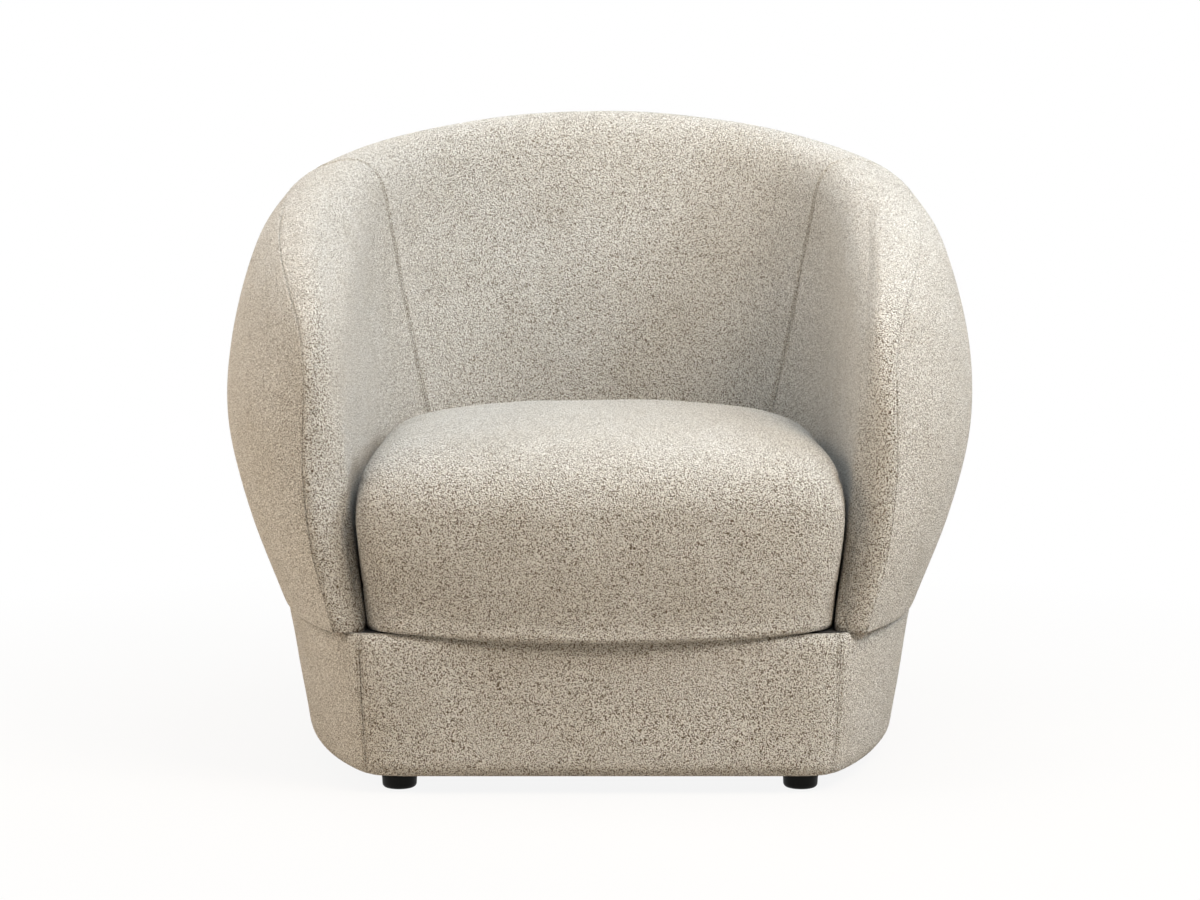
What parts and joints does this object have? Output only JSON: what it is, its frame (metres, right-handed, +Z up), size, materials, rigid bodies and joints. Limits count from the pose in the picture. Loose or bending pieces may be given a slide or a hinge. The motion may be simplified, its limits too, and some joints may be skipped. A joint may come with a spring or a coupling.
{
  "type": "tub chair",
  "caption": "Ball-shaped upholstered tub chair in oatmeal boucle on an upholstered plinth with small black feet and a loose crowned seat cushion.",
  "frame": {"origin": "middle of the chair's box on the floor", "axes": "+Z up, the chair faces -Y, its left side as seen from the front is -X"},
  "size_m": [0.9082, 0.8488, 0.7743],
  "materials": {
    "boucle": "woven boucle",
    "foam": "open foam",
    "webbing": "woven strap",
    "lining": "thin lining",
    "plywood": "raw plywood",
    "fibreboard": "thin bent board",
    "black_plastic": "moulded",
    "zinc": "zinc plated",
    "nickel": "nickel plated"
  },
  "bodies": {
    "chair_frame": {"outside_arm_cover_right": "boucle", "outside_arm_cover_left": "boucle", "outside_back_cover": "boucle", "inside_arm_pad_right": "boucle", "inside_arm_pad_left": "boucle", "inside_back_pad": "boucle", "side_board_right": "fibreboard", "side_board_left": "fibreboard", "back_board": "fibreboard", "arm_top_rail_right": "plywood", "arm_top_rail_left": "plywood", "back_top_rail": "plywood", "base_front_cover": "boucle", "base_right_cover": "boucle", "base_left_cover": "boucle", "base_back_cover": "boucle", "side_rail_right": "plywood", "side_rail_left": "plywood", "front_rail": "plywood", "rear_rail": "plywood", "cross_rail": "plywood", "side_batten_left": "plywood", "side_batten_right": "plywood", "seat_strap_1": "webbing", "seat_strap_2": "webbing", "seat_strap_3": "webbing", "seat_strap_4": "webbing", "cross_strap_1": "webbing", "cross_strap_2": "webbing", "seat_deck_pad": "lining", "corner_block_front_left": "plywood", "foot_front_left": "black_plastic", "foot_screw_front_left": "zinc", "corner_block_front_right": "plywood", "foot_front_right": "black_plastic", "foot_screw_front_right": "zinc", "corner_block_rear_left": "plywood", "foot_rear_left": "black_plastic", "foot_screw_rear_left": "zinc", "corner_block_rear_right": "plywood", "foot_rear_right": "black_plastic", "foot_screw_rear_right": "zinc", "dust_cover": "lining", "floor_screw_left": "zinc", "floor_screw_right": "zinc", "tub_floor_ring": "plywood", "arm_post_right": "plywood", "arm_post_left": "plywood", "side_rib_right": "plywood", "side_rib_left": "plywood", "corner_rib_right": "plywood", "corner_rib_left": "plywood", "back_rib_right": "plywood", "back_rib_left": "plywood", "back_rib_middle": "plywood"},
    "seat_cushion": {"cushion_cover": "boucle", "cushion_foam_core": "foam", "zip_tape": "webbing"},
    "zip_slider": {"zip_slider": "nickel"}
  },
  "joints": [
    {"name": "cushion_lift", "type": "slide", "parent": "chair_frame", "child": "seat_cushion", "axis": [0, 0, 1], "range_m": [0, 0.35]},
    {"name": "zip_run", "type": "slide", "parent": "seat_cushion", "child": "zip_slider", "axis": [1, 0, 0], "range_m": [0, 0.2]}
  ]
}
